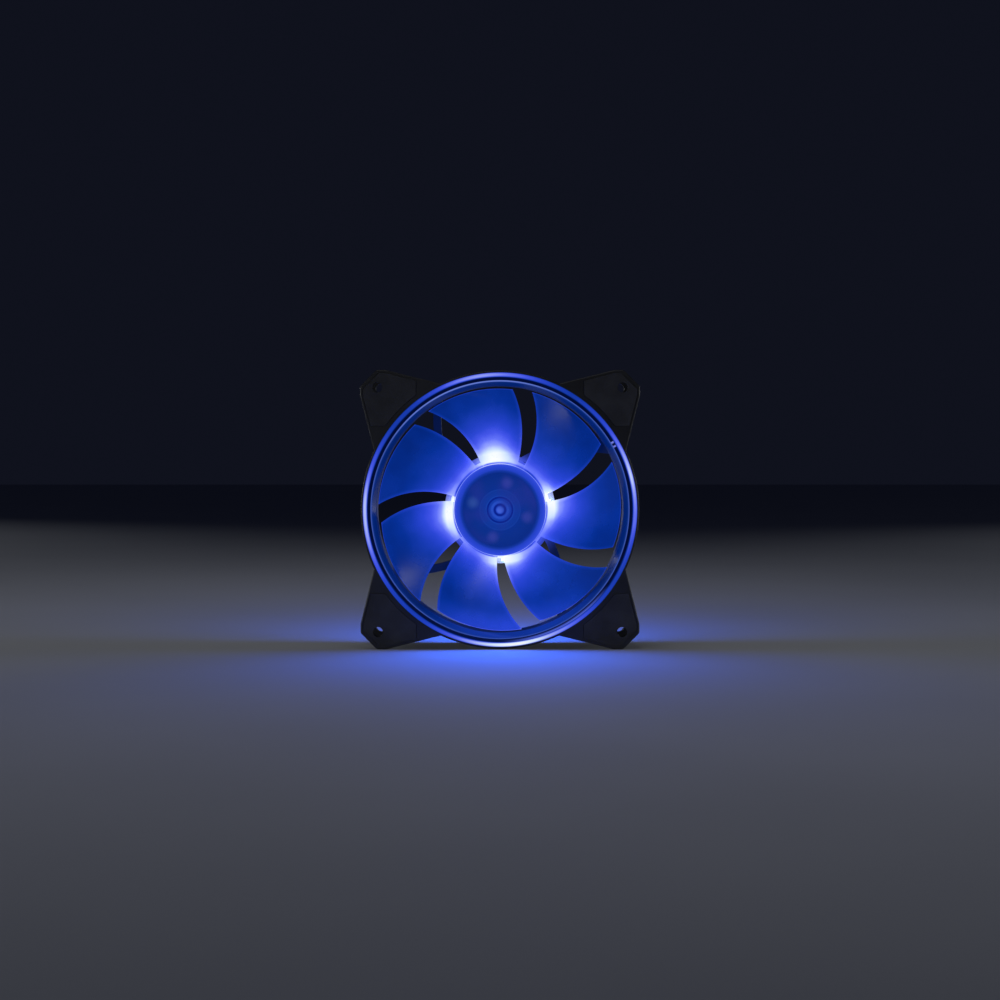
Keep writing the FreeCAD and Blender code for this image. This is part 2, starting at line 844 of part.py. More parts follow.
def make_stator_core():
    body = new_body("stator_core")
    add_plate(body, "laminations", dim.core_front, dim.core_rear,
              lambda sketch: draw_circle(sketch, dim.core_outer))
    half = dim.core_neck / 2
    hub_side = leg(dim.core_hub, half)
    head_side = leg(dim.core_head_inner, half)
    root_half = math.sqrt(0.5)

    def draw_slot(sketch):
        points = [(half, hub_side), (half, head_side), (head_side, half), (hub_side, half)]
        head = dim.core_head_inner.number * root_half
        hub = dim.core_hub.number * root_half
        draw_outline(sketch, points, {1: (dim.core_head_inner, (head, head)),
                                      3: (dim.core_hub, (hub, hub))})

    def draw_slit(sketch):
        slit = dim.core_slit / 2
        inner = dim.core_head_inner - 0.4
        outer = dim.core_outer + 1
        draw_outline(sketch, [
            ((inner + slit) * root_half, (inner - slit) * root_half),
            ((outer + slit) * root_half, (outer - slit) * root_half),
            ((outer - slit) * root_half, (outer + slit) * root_half),
            ((inner - slit) * root_half, (inner + slit) * root_half),
        ])

    slot = cut_plate(body, "slot", dim.core_front, dim.core_rear, draw_slot)
    repeat(body, "slots", [slot], 4)
    slit = cut_plate(body, "slit", dim.core_front, dim.core_rear, draw_slit)
    repeat(body, "slits", [slit], 4)
    cut_plate(body, "core_bore", dim.core_front, dim.core_rear,
              lambda sketch: draw_circle(sketch, dim.tube_outer + dim.fit_gap))
    return body


def make_insulator(label, core_face, outward):
    """The plastic former on one end of the core. outward is -1 at the front and 1 at the rear."""
    body = new_body(label)

    def span(depth):
        far = core_face + depth * outward
        return (core_face, far) if outward > 0 else (far, core_face)

    half_arm = dim.arm_width / 2
    half_wall = dim.wall_width / 2
    low, high = span(dim.wall_height)
    revolve(body, f"{label}_collar", rectangle(dim.collar_outer - dim.collar_wall, dim.collar_outer,
                                               low, high))
    low, high = span(dim.arm_thickness)
    revolve(body, f"{label}_ring", rectangle(dim.tube_outer + dim.fit_gap, dim.collar_outer, low, high))
    arm = add_plate(body, f"{label}_arm", low, high,
                    lambda sketch: draw_outline(sketch, rectangle(
                        -half_arm, half_arm, dim.collar_outer - 0.5, dim.wall_inner + 0.2)))
    low, high = span(dim.wall_height)
    wall = add_plate(body, f"{label}_wall", low, high,
                     lambda sketch: draw_outline(sketch, rectangle(
                         -half_wall, half_wall, dim.wall_inner, dim.wall_inner + dim.wall_thickness)))
    repeat(body, f"{label}_arms", [arm, wall], 4)
    return body


def add_board_legs(body):
    """The rear former stands on the bearing boss and holds the circuit board by four pins."""
    root_half = math.sqrt(0.5)
    place = (dim.leg_circle * root_half, dim.leg_circle * root_half)
    revolve(body, "boss_collar", rectangle(dim.tube_outer + dim.fit_gap, dim.boss_outer,
                                           dim.core_rear, dim.boss_front))
    rear_leg = add_plate(body, "leg", dim.core_rear, dim.board_front,
                         lambda sketch: draw_circle(sketch, dim.leg_radius, place))
    pin = add_plate(body, "pin", dim.board_front - 0.5, dim.board_front + dim.board_thickness + 0.4,
                    lambda sketch: draw_circle(sketch, dim.pin_radius, place))
    repeat(body, "legs", [rear_leg, pin], 4)


def make_coil(label, turn):
    """One winding: a rounded block around a pole's neck."""
    body = new_body(label)
    sketch = new_sketch(body, "XY_Plane", f"{label}_loop", dim.coil_inner)
    reach = dim.coil_reach
    half = dim.coil_width / 2
    window = dim.coil_window / 2
    gap = dim.arm_thickness + dim.fit_gap
    draw_outline(sketch, rectangle(-half, half, dim.core_front - reach, dim.core_rear + reach))
    draw_outline(sketch, rectangle(-window, window, dim.core_front - gap, dim.core_rear + gap))
    winding = body.newObject("PartDesign::Pad", f"{label}_winding")
    winding.Profile = sketch
    winding.Length = (dim.coil_outer - dim.coil_inner).number
    winding.setExpression("Length", (dim.coil_outer - dim.coil_inner).text)
    doc.recompute()
    dress(body, "Fillet", f"{label}_rounds", is_coil_corner, dim.coil_rounding)
    turn_about_axis(body, 90 * turn)
    return body


def is_coil_corner(edge):
    """True for the four outer edges of a coil that run away from the axis."""
    if not isinstance(edge.Curve, Part.Line) or abs(abs(edge.Curve.Direction.z) - 1) > 1e-6:
        return False
    return abs(edge.BoundBox.Center.x) > dim.coil_width.number / 2 - 0.01


# --- circuit board -----------------------------------------------------------------------

def make_board():
    body = new_body("circuit_board")
    rear = dim.board_front + dim.board_thickness
    add_plate(body, "board", dim.board_front, rear,
              lambda sketch: draw_circle(sketch, dim.board_radius))
    cut_plate(body, "board_bore", dim.board_front, rear,
              lambda sketch: draw_circle(sketch, dim.board_bore))
    root_half = math.sqrt(0.5)
    place = (dim.leg_circle * root_half, dim.leg_circle * root_half)
    hole = cut_plate(body, "pin_hole", dim.board_front, rear,
                     lambda sketch: draw_circle(sketch, dim.pin_radius + 0.1, place))
    repeat(body, "pin_holes", [hole], 4)
    return body


def board_place(radius, degrees):
    """Where a component's own box sits on the board's front, turned to face the axis."""
    turn = FreeCAD.Placement(FreeCAD.Vector(0, 0, 0), spin(degrees - 90))
    shift = FreeCAD.Placement(FreeCAD.Vector(0, dim.board_front.number, radius), FreeCAD.Rotation())
    return turn * shift


def new_box(name, length, width, height):
    """A box whose rear face is at y = 0, centred in X and Z."""
    box = doc.addObject("Part::Box", name)
    for prop, size in (("Length", length), ("Width", height), ("Height", width)):
        box.setExpression(prop, size.text)
    for axis, size in (("x", length / -2), ("y", -height), ("z", width / -2)):
        box.setExpression(f"Placement.Base.{axis}", size.text)
    doc.recompute()
    return box


def make_led(label, degrees):
    """A surface-mount LED package with a round window facing the intake."""
    package = new_box(f"{label}_package", dim.led_length, dim.led_width, dim.led_height)
    window = doc.addObject("Part::Cylinder", f"{label}_window")
    window.setExpression("Radius", dim.led_window.text)
    window.setExpression("Height", (dim.led_window_depth + 0.5).text)
    top = dim.led_window_depth - dim.led_height
    window.Placement = FreeCAD.Placement(FreeCAD.Vector(0, top.number, 0),
                                         FreeCAD.Rotation(FreeCAD.Vector(1, 0, 0), 90))
    cut = doc.addObject("Part::Cut", label)
    cut.Label = label
    cut.Base = package
    cut.Tool = window
    cut.Placement = board_place(dim.led_circle.number, degrees)
    return cut


def make_leaded_chip(label, size, leads, circle, degrees):
    """A moulded chip with flat leads on both long sides."""
    length, width, height = size
    pieces = [new_box(f"{label}_block", length, width, height)]
    foot = dim.lead_thickness
    for number in range(leads):
        across = (number + 0.5) / leads - 0.5
        lead = doc.addObject("Part::Box", f"{label}_lead_{number + 1}")
        lead.setExpression("Length", (length * (0.5 / leads)).text)
        lead.setExpression("Width", foot.text)
        lead.setExpression("Height", (width + dim.lead_reach * 2).text)
        lead.setExpression("Placement.Base.x", (length * (across - 0.25 / leads)).text)
        lead.setExpression("Placement.Base.y", (-foot).text)
        lead.setExpression("Placement.Base.z", ((width + dim.lead_reach * 2) / -2).text)
        pieces.append(lead)
    chip = doc.addObject("Part::MultiFuse", label)
    chip.Label = label
    chip.Shapes = pieces
    chip.Placement = board_place(circle.number, degrees)
    return chip


def make_end_capped(label, size, circle, degrees):
    """A passive part: a block between two slightly larger soldered ends."""
    length, width, height = size
    block = new_box(f"{label}_block", length, width, height)
    ends = []
    for number, side in enumerate((-1, 1), start=1):
        end = new_box(f"{label}_end_{number}", length / 5, width + 0.1, height + 0.05)
        end.setExpression("Placement.Base.x", (length * (0.4 * side) - length / 10).text)
        ends.append(end)
    part = doc.addObject("Part::MultiFuse", label)
    part.Label = label
    part.Shapes = [block] + ends
    part.Placement = board_place(circle.number, degrees)
    return part


# --- the whole fan -----------------------------------------------------------------------

def make_motor():
    magnet_outer = dim.cup_outer - dim.cup_wall - dim.press_gap
    sleeve_bore = dim.shaft_radius + dim.running_gap
    seal_front = dim.sleeve_front - dim.seal_thickness - 0.1
    clip_front = dim.clip_groove_front + (dim.clip_groove_width - dim.clip_thickness) / 2
    tube_inside = dim.tube_inner - dim.press_gap / 2
    rear_former = make_insulator("insulator_rear", dim.core_rear, 1)
    add_board_legs(rear_former)
    label_front = dim.frame_depth / 2 - dim.pad_proud - dim.label_recess
    return [
        make_rotor_cup(),
        make_tube("magnet_ring", magnet_outer - dim.magnet_wall, magnet_outer,
                  dim.magnet_front, dim.magnet_rear),
        make_shaft_insert(),
        make_shaft(),
        make_tube("retaining_clip", dim.clip_groove_radius + dim.fit_gap, dim.clip_outer,
                  clip_front, clip_front + dim.clip_thickness),
        make_tube("bearing_tube", dim.tube_inner, dim.tube_outer, dim.tube_front, dim.base_floor),
        make_tube("bearing_sleeve", sleeve_bore, tube_inside, dim.sleeve_front, dim.sleeve_rear),
        make_tube("oil_seal", sleeve_bore + 0.1, tube_inside, seal_front,
                  seal_front + dim.seal_thickness),
        make_tube("thrust_plate", as_size(0), dim.thrust_radius, dim.thrust_front, dim.base_floor),
        make_stator_core(),
        make_insulator("insulator_front", dim.core_front, -1),
        rear_former,
        make_tube("rear_label", as_size(0), dim.label_radius - dim.fit_gap,
                  label_front, label_front + dim.label_thickness),
    ] + [make_coil(f"coil_{turn + 1}", turn) for turn in QUARTER_TURNS]


def make_electronics():
    leds = [make_led(f"led_{turn + 1}", dim.led_angle.number + 90 * turn) for turn in QUARTER_TURNS]
    hall = (dim.hall_length, dim.hall_width, dim.hall_height)
    chip = (dim.chip_length, dim.chip_width, dim.chip_height)
    capacitor = (dim.capacitor_length, dim.capacitor_width, dim.capacitor_height)
    resistor = (dim.resistor_length, dim.resistor_width, dim.resistor_height)
    return leds + [
        make_board(),
        make_leaded_chip("hall_sensor", hall, 3, dim.hall_circle, 45.0),
        make_leaded_chip("driver_chip", chip, 4, dim.chip_circle, 140.0),
        make_end_capped("capacitor", capacitor, dim.capacitor_circle, 230.0),
        make_end_capped("resistor_1", resistor, dim.resistor_circle, 305.0),
        make_end_capped("resistor_2", resistor, dim.resistor_circle, 322.0),
    ]


def check_and_export(parts):
    doc.recompute()
    for item in doc.Objects:
        if "Invalid" in item.State or "Error" in item.State:
            raise RuntimeError(f"{item.Label} failed: {item.State}")
    os.makedirs("parts", exist_ok=True)
    for part in parts:
        if part.Shape.isNull() or not part.Shape.isValid():
            raise RuntimeError(f"{part.Label} has no valid shape")
        part.Shape.exportStep(f"parts/{part.Label}.step")
        print(part.Label, len(part.Shape.Solids), round(part.Shape.Volume, 1))


doc = FreeCAD.newDocument("case_fan")
dim = read_sizes(add_sheet(doc))
fan_parts = [make_frame(), make_light_ring(), make_impeller()]
fan_parts += make_pads()
fan_parts += make_motor()
fan_parts += make_electronics()
check_and_export(fan_parts)
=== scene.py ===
import json
import math

import bmesh
import bpy
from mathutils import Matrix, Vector

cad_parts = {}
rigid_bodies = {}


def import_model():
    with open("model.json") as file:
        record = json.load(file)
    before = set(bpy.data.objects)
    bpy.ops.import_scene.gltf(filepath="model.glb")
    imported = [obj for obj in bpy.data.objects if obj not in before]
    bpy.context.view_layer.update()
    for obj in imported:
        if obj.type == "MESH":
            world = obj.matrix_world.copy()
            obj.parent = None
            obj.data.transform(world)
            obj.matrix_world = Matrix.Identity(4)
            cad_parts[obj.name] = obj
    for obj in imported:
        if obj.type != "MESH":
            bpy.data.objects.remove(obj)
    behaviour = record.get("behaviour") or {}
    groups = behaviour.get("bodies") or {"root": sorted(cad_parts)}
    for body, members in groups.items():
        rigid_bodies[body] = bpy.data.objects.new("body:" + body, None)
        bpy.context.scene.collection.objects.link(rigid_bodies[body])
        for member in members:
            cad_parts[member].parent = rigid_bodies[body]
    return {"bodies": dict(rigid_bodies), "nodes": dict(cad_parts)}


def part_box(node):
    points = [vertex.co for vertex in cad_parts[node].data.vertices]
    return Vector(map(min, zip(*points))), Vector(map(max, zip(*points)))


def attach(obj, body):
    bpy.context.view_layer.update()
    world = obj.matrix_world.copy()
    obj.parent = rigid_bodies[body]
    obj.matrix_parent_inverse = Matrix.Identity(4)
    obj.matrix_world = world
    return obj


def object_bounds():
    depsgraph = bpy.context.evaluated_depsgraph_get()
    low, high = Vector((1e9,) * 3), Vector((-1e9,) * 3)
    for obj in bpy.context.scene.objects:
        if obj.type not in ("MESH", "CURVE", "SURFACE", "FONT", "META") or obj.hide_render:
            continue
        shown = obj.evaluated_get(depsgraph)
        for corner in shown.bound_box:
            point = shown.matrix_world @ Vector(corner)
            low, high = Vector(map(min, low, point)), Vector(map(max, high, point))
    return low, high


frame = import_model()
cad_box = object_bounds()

# The looks and the stage of a case fan with blue light.
#
# Blender's own lengths are in metres. What the materials use is in millimetres:
# - a radius is a distance from the spin axis;
# - a depth is a place along the spin axis, negative towards the front;
# - a direction is in degrees round the axis, anticlockwise from +X as the front shows it.
# A window is a pair of numbers for span(), which is 0 at the first and 1 at the second, or four
# numbers for band(). An arc is a direction and a width for toward().
MM = 0.001

# The part's own sizes that the looks follow.
BLADE_COUNT = 7
BLADE_ROOT = 17.9
BLADE_TIP = 52.4
LED_COUNT = 4
FIRST_LED = 6
CUP_HOLE_CIRCLE = 12.0
FIRST_CUP_HOLE = 75
LOCATING_KEY = 30
LOCATING_KEY_CIRCLE = 56.35


# --- small helpers ----------------------------------------------------------------------------

def linear(red, green, blue):
    """A colour given as display values from 0 to 255, as the renderer's linear values."""
    def channel(value):
        share = value / 255
        return share / 12.92 if share <= 0.04045 else ((share + 0.055) / 1.055) ** 2.4
    return (channel(red), channel(green), channel(blue), 1.0)


def grey(value):
    return (value, value, value, 1.0)


class Shader:
    """One material's node tree, with short calls for the nodes that the fan's surfaces use."""

    def __init__(self, name):
        self.material = bpy.data.materials.new(name)
        self.material.use_nodes = True
        self.tree = self.material.node_tree
        self.surface = self.tree.nodes["Principled BSDF"]

    def node(self, kind, **settings):
        made = self.tree.nodes.new(kind)
        for name, value in settings.items():
            setattr(made, name, value)
        return made

    def feed(self, socket, value):
        """Links value if it is a socket, or else sets it."""
        if isinstance(value, bpy.types.NodeSocket):
            self.tree.links.new(value, socket)
        else:
            socket.default_value = value

    def set(self, **inputs):
        """Sets or links the surface's inputs: Base_Color means Base Color."""
        for name, value in inputs.items():
            self.feed(self.surface.inputs[name.replace("_", " ")], value)

    def place(self, space=None):
        """Where a point is, in metres: in its own piece, or in space if that is given."""
        coordinates = self.node("ShaderNodeTexCoord")
        if space is not None:
            coordinates.object = space
        return coordinates.outputs["Object"]

    def maths(self, operation, first, second=0.0, third=0.0, clamp=False):
        made = self.node("ShaderNodeMath", operation=operation, use_clamp=clamp)
        for socket, value in zip(made.inputs, (first, second, third)):
            self.feed(socket, value)
        return made.outputs[0]

    def product(self, first, *others):
        for other in others:
            first = self.maths("MULTIPLY", first, other)
        return first

    def fold(self, value, step):
        """How far value is from the nearest multiple of step, in steps: from 0 to 0.5."""
        return self.maths("PINGPONG", self.product(value, 1 / step), 0.5)

    def lift(self, value, amount, share):
        """Adds amount to value where share is 1."""
        return self.maths("MULTIPLY_ADD", share, amount, value)

    def split(self, vector):
        made = self.node("ShaderNodeSeparateXYZ")
        self.feed(made.inputs[0], vector)
        return made.outputs

    def scaled(self, vector, scale):
        made = self.node("ShaderNodeVectorMath", operation="MULTIPLY")
        self.feed(made.inputs[0], vector)
        made.inputs[1].default_value = scale
        return made.outputs[0]

    def depth(self, place):
        _, y, _ = self.split(place)
        return self.product(y, 1 / MM)

    def radius(self, place):
        x, _, z = self.split(place)
        return self.product(self.length(x, z), 1 / MM)

    def length(self, across, up):
        square = self.maths("ADD", self.product(across, across), self.product(up, up))
        return self.maths("SQRT", square)

    def angle(self, place):
        """The direction of a point, in radians."""
        x, _, z = self.split(place)
        return self.maths("ARCTAN2", z, x)

    def toward(self, angle, direction, width):
        """1 in one direction, falling to 0 at width degrees to either side."""
        turn = self.maths("COSINE", self.maths("SUBTRACT", angle, math.radians(direction)))
        return self.span(turn, math.cos(math.radians(width)), 1.0, smooth=True)

    def noise(self, place, per_metre, detail, roughness):
        """A cloudy pattern, mostly from 0.3 to 0.7, with about per_metre blobs in a metre."""
        made = self.node("ShaderNodeTexNoise")
        self.feed(made.inputs["Vector"], place)
        made.inputs["Scale"].default_value = per_metre
        made.inputs["Detail"].default_value = detail
        made.inputs["Roughness"].default_value = roughness
        return made.outputs["Fac"]

    def span(self, value, low, high, to_low=0.0, to_high=1.0, smooth=False):
        """to_low where value is low, to_high where it is high, and no further beyond them."""
        made = self.node("ShaderNodeMapRange")
        if smooth:
            made.interpolation_type = "SMOOTHSTEP"
        for socket, number in zip(made.inputs, (value, low, high, to_low, to_high)):
            self.feed(socket, number)
        return made.outputs[0]

    def band(self, value, start, full, fading, end):
        """0 up to start, 1 from full to fading, and 0 again from end."""
        return self.product(self.span(value, start, full), self.span(value, end, fading))

    def ramp(self, value, stops):
        """A colour ramp. stops are (place from 0 to 1, colour)."""
        made = self.node("ShaderNodeValToRGB")
        self.feed(made.inputs[0], value)
        elements = made.color_ramp.elements
        while len(elements) < len(stops):
            elements.new(1.0)
        for element, (place, colour) in zip(elements, stops):
            element.position = place
            element.color = colour
        return made.outputs[0]

    def curve(self, value, points):
        """A value that follows another through points of (other, value from 0 to 1)."""
        first, last = points[0][0], points[-1][0]
        stops = [((at - first) / (last - first), grey(height)) for at, height in points]
        return self.ramp(self.span(value, first, last), stops)

    def mix(self, share, first, second):
        made = self.node("ShaderNodeMix", data_type="RGBA")
        self.feed(made.inputs["Factor"], share)
        colour_inputs = [socket for socket in made.inputs if socket.type == "RGBA"]
        for socket, colour in zip(colour_inputs, (first, second)):
            self.feed(socket, colour)
        return next(socket for socket in made.outputs if socket.type == "RGBA")

    def bump(self, height, strength, distance, normal=None):
        made = self.node("ShaderNodeBump")
        made.inputs["Strength"].default_value = strength
        made.inputs["Distance"].default_value = distance
        self.feed(made.inputs["Height"], height)
        if normal is not None:
            self.feed(made.inputs["Normal"], normal)
        return made.outputs[0]

    def rounded_edges(self, radius):
        """1 along the sharp edges, and the normal as if they were rounded to radius."""
        rounded = self.node("ShaderNodeBevel", samples=6)
        rounded.inputs["Radius"].default_value = radius
        flat = self.node("ShaderNodeNewGeometry")
        turn = self.node("ShaderNodeVectorMath", operation="DOT_PRODUCT")
        self.feed(turn.inputs[0], rounded.outputs[0])
        self.feed(turn.inputs[1], flat.outputs["Normal"])
        # The two normals agree away from the edges, where their dot product is 1.
        return self.span(turn.outputs["Value"], 0.999, 0.86), rounded.outputs[0]


# --- the light of the LEDs --------------------------------------------------------------------

# What lit plastic looks like from dark to bright. A glow is a place along this ramp.
LIT = [
    (0.00, linear(1, 26, 88)), (0.10, linear(3, 38, 118)), (0.20, linear(6, 47, 143)),
    (0.30, linear(20, 56, 167)), (0.40, linear(31, 62, 187)), (0.50, linear(43, 70, 206)),
    (0.60, linear(66, 84, 226)), (0.70, linear(96, 112, 241)), (0.80, linear(152, 165, 250)),
    (0.90, linear(212, 230, 254)), (1.00, linear(252, 254, 255)),
]

# How strongly lit plastic shines, and the glow of the motor base between two LEDs and by one.
LIT_STRENGTH = 0.95
BASE_GLOW = (0.56, 0.88)


def led_lobes(shader, angle, sharpness):
    """1 in front of each LED, falling to 0 halfway between two of them."""
    turn = shader.product(shader.maths("SUBTRACT", angle, math.radians(FIRST_LED)), LED_COUNT)
    share = shader.maths("MULTIPLY_ADD", shader.maths("COSINE", turn), 0.5, 0.5)
    return shader.maths("POWER", share, sharpness)


def base_glow(shader, place):
    """What the LEDs make of the motor base and the board round them."""
    lobes = led_lobes(shader, shader.angle(place), sharpness=1.2)
    return shader.ramp(shader.span(lobes, 0.0, 1.0, *BASE_GLOW), LIT)


# --- blades and hub ---------------------------------------------------------------------------

# The blades' glow at each radius: in the direction of an LED, and halfway between two.
BY_AN_LED = [
    (20.0, 1.0), (24.5, 1.0), (26.0, 0.90), (28.0, 0.80), (31.0, 0.68), (34.0, 0.57),
    (38.0, 0.43), (42.0, 0.31), (46.0, 0.22), (51.0, 0.17),
]
BETWEEN_LEDS = [
    (20.0, 0.74), (22.0, 0.71), (24.0, 0.58), (26.0, 0.49), (28.0, 0.41), (31.0, 0.31),
    (38.0, 0.20), (44.0, 0.13), (51.0, 0.12),
]

# The light of the topmost LED reaches further out than that of the others. The difference
# grows from nothing to its whole between the two radii.
TOP_LED_REACH = 2.6
TOP_ARC = (FIRST_LED + 90, 70)
REACH_START = (22.0, 26.0)

# The table below the fan brightens the lowest part of the disc.
TABLE_ARC = (272, 52)
TABLE_RADIUS = (40.0, 52.0)
TABLE_GLOW = 0.26

# The hub's wall behind the cap's rounded corner is darker towards the front, away from the LEDs.
WALL_RADIUS = (20.9, 20.2)
WALL_DEPTH = (-8.8, -7.6)
WALL_SHADE = (6.0, -7.0)
WALL_GLOW = -0.36

# Light leaves the sheet at the blades' tips and along their edges.
TIP_RADIUS = (52.05, 52.3)
TIP_GLOW = 0.24
EDGE_RADIUS = (22.0, 30.0)
EDGE_WIDTH = 1.6
EDGE_GLOW = 0.13

# How much brighter the brightest patches of a blade's painted glow are than the dimmest.
BLADE_PATCHES = 0.05

# The blades' form, as the part has it: at the root, at the tip, and how slowly the one turns
# into the other. The painted edges follow it in straight steps.
BLADE_PITCH = (43.0, 21.0, 0.8)
BLADE_SWEEP = (0.0, 15.0, 1.6)
BLADE_CHORD = (19.0, 41.0, 1.1)
BLADE_EDGE_THICKNESS = 0.7
EDGE_STEPS = 7

# The cap's lit face from the axis, 0, to its rim, 1: a boss with turned rings, the steel cup's
# shadow, and the brighter border beyond the cup.
HUB_RIM = 20.0
HUB_FACE = [
    (0.000, linear(78, 112, 232)), (0.055, linear(68, 104, 224)), (0.085, linear(30, 68, 190)),
    (0.098, linear(3, 29, 134)), (0.132, linear(4, 33, 142)), (0.146, linear(34, 75, 190)),
    (0.175, linear(40, 80, 194)), (0.215, linear(20, 60, 168)), (0.246, linear(17, 56, 160)),
    (0.252, linear(4, 33, 132)), (0.285, linear(5, 36, 136)), (0.294, linear(25, 68, 168)),
    (0.315, linear(16, 55, 152)), (0.425, linear(15, 53, 146)), (0.433, linear(24, 64, 162)),
    (0.445, linear(10, 47, 138)), (0.62, linear(11, 46, 132)), (0.79, linear(8, 42, 128)),
    (0.84, linear(20, 54, 158)), (0.872, linear(34, 64, 190)), (0.93, linear(42, 70, 206)),
    (0.975, linear(50, 76, 214)), (0.988, linear(112, 132, 244)), (1.000, linear(176, 194, 253)),
]

# Where the cap ends, and where the steel cup is close behind it.
CAP_EDGE = (19.6, 19.96)
OVER_CUP = (16.6, 15.0)

# The soft spot of light round the middle of each cup hole, greener in one arc than elsewhere.
HOLE_SPOT = (3.6, 0.3)
HOLE_LIGHT = 0.45
GREENER_ARC = (165, 70)


def blade_glow(shader):
    """The blades' glow. It is painted in the housing's space, so that the light stays with the
    LEDs while the rotor turns."""
    place = shader.place(frame["bodies"]["housing"])
    radius = shader.radius(place)
    angle = shader.angle(place)
    depth = shader.depth(place)
    shorter = shader.span(shader.toward(angle, *TOP_ARC), 0.0, 1.0, TOP_LED_REACH, 0.0)
    shorter = shader.product(shader.span(radius, *REACH_START), shorter)
    near = shader.curve(shader.maths("ADD", radius, shorter), BY_AN_LED)
    far = shader.curve(radius, BETWEEN_LEDS)
    lobes = led_lobes(shader, angle, sharpness=1.45)
    glow = shader.lift(far, shader.maths("SUBTRACT", near, far), lobes)
    outer = shader.span(radius, *TABLE_RADIUS, smooth=True)
    glow = shader.lift(glow, TABLE_GLOW, shader.product(outer, shader.toward(angle, *TABLE_ARC)))
    wall = shader.product(shader.span(radius, *WALL_RADIUS), shader.span(depth, *WALL_DEPTH))
    glow = shader.lift(glow, WALL_GLOW, shader.product(wall, shader.span(depth, *WALL_SHADE)))
    return shader.lift(glow, TIP_GLOW, shader.span(radius, *TIP_RADIUS))


def along_blade(share, root, tip, ease=1.0):
    """A value part of the way from the blade's root to its tip."""
    return root + (tip - root) * share ** ease


def edge_angle(share, side):
    """Where the front shows an edge of the topmost blade, in degrees clockwise from +Z. share
    runs from root to tip, and side is -1 at the leading edge and 1 at the trailing edge."""
    pitch = math.radians(along_blade(share, *BLADE_PITCH))
    width = along_blade(share, *BLADE_CHORD) * math.cos(pitch)
    width += BLADE_EDGE_THICKNESS * math.sin(pitch)
    radius = along_blade(share, BLADE_ROOT, BLADE_TIP)
    return side * math.degrees(width / 2 / radius) - along_blade(share, *BLADE_SWEEP)


def blade_edges(shader, own, radius):
    """1 along the blades' leading and trailing edges, where light leaves the sheet."""
    share = shader.span(radius, BLADE_ROOT, BLADE_TIP)
    places = [step / EDGE_STEPS for step in range(EDGE_STEPS + 1)]
    x, _, z = shader.split(own)
    angle = shader.product(shader.maths("ARCTAN2", x, z), 180 / math.pi)
    # Widths here are in steps from blade to blade, so one blade's edges serve for all of them.
    width = shader.maths("DIVIDE", EDGE_WIDTH * BLADE_COUNT / (2 * math.pi), radius)
    edges = 0.0
    for side in (-1, 1):
        angles = [edge_angle(place, side) for place in places]
        first = min(angles)
        reach = max(angles) - first
        stops = [(place, grey((turn - first) / reach)) for place, turn in zip(places, angles)]
        edge = shader.maths("MULTIPLY_ADD", shader.ramp(share, stops), reach, first)
        away = shader.fold(shader.maths("SUBTRACT", angle, edge), 360 / BLADE_COUNT)
        edges = shader.maths("MAXIMUM", edges, shader.span(away, width, 0.0))
    return edges


def cup_holes(shader, radius, angle):
    """1 in front of each of the steel cup's four holes, with a soft edge."""
    turn = shader.maths("SUBTRACT", angle, math.radians(FIRST_CUP_HOLE))
    quarter = math.pi / 2
    across = shader.product(shader.fold(turn, quarter), quarter * CUP_HOLE_CIRCLE)
    along = shader.maths("SUBTRACT", radius, CUP_HOLE_CIRCLE)
    return shader.span(shader.length(across, along), *HOLE_SPOT, smooth=True)


def hub_face(shader, own, radius):
    """The cap's lit face, with a violet cloud over the cup and light in the cup's holes."""
    angle = shader.angle(own)
    face = shader.ramp(shader.maths("DIVIDE", radius, HUB_RIM), HUB_FACE)
    cloud = shader.span(shader.noise(own, 75, detail=2, roughness=0.5), 0.42, 0.7, 0.0, 0.75)
    over_cup = shader.span(radius, *OVER_CUP, smooth=True)
    face = shader.mix(shader.product(cloud, over_cup), face, linear(34, 48, 142))
    greener = shader.toward(angle, *GREENER_ARC)
    light = shader.mix(greener, linear(64, 70, 166), linear(58, 92, 166))
    return shader.mix(shader.product(cup_holes(shader, radius, angle), HOLE_LIGHT), face, light)


def blade_plastic():
    """Clear blue-tinted plastic that LEDs at the hub shine into."""
    shader = Shader("blade_plastic")
    own = shader.place()
    radius = shader.radius(own)
    flow = shader.noise(shader.scaled(own, (1.0, 0.35, 1.0)), 110, detail=3, roughness=0.5)
    outside_cap = shader.span(radius, *CAP_EDGE)
    edges = shader.product(blade_edges(shader, own, radius), shader.span(radius, *EDGE_RADIUS))
    glow = shader.lift(blade_glow(shader), EDGE_GLOW, edges)
    glow = shader.lift(glow, BLADE_PATCHES, shader.span(flow, 0.35, 0.7, -0.5, 0.5))
    lit = shader.ramp(glow, LIT)
    shader.set(
        Base_Color=shader.mix(outside_cap, linear(6, 18, 60), linear(8, 26, 84)),
        Roughness=shader.span(flow, 0.3, 0.7, 0.22, 0.30),
        IOR=1.49,
        Specular_IOR_Level=0.18,
        Transmission_Weight=0.35,
        Emission_Color=shader.mix(outside_cap, hub_face(shader, own, radius), lit),
        Emission_Strength=LIT_STRENGTH,
        Coat_Weight=0.02,
        Coat_Roughness=0.12,
        Normal=shader.bump(flow, strength=0.04, distance=0.3 * MM),
    )
    return shader.material


# --- light ring -------------------------------------------------------------------------------

# The bead's own shading across its width, from 0 at its inner side to 1 at its outer side.
BEAD_RADIUS = (56.9, 59.0)
BEAD = [
    (0.00, grey(0.0)), (0.10, grey(0.35)), (0.24, grey(0.9)), (0.50, grey(1.0)),
    (0.86, grey(0.92)), (1.00, grey(0.5)),
]

# The bead's glow between two LEDs, what an LED adds, and how much its patches differ.
BEAD_GLOW = 0.32
BEAD_LED_GLOW = 0.46
BEAD_PATCHES = 0.10

